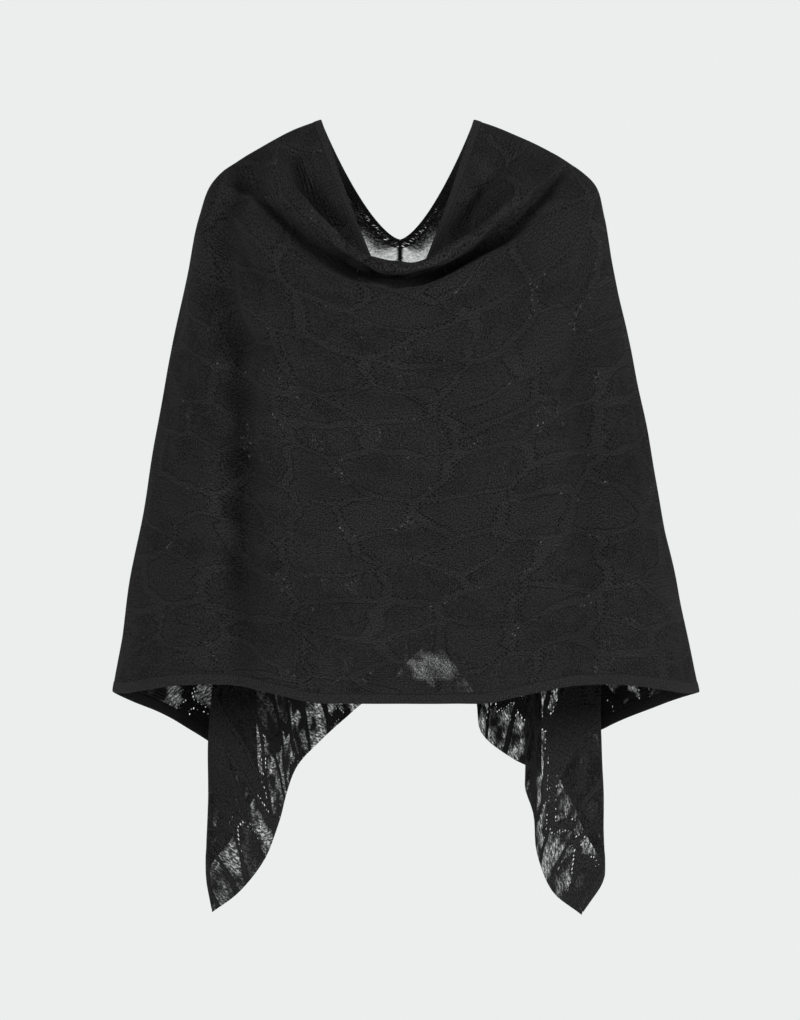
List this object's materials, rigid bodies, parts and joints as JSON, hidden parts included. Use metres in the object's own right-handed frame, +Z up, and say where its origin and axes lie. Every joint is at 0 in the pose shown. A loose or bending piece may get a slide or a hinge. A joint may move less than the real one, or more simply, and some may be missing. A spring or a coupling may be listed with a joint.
{
  "type": "poncho",
  "caption": "Fine knitted poncho in its hollow worn form, with a softly rolled cowl front, a V back neck, a straight front hem and two pointed tails behind.",
  "frame": {"origin": "midway between the two points where the cloth lies on the wearer's shoulders beside the neck", "axes": "+X to the right as seen from the front, -Y the front, +Z up"},
  "size_m": [0.6476, 0.3052, 0.8819],
  "materials": {
    "knit": "matt black fine knit",
    "rib": "matt black close rib"
  },
  "bodies": {
    "root": {"knit_panel": "knit", "neck_band": "rib", "hem_band": "rib"}
  },
  "joints": []
}
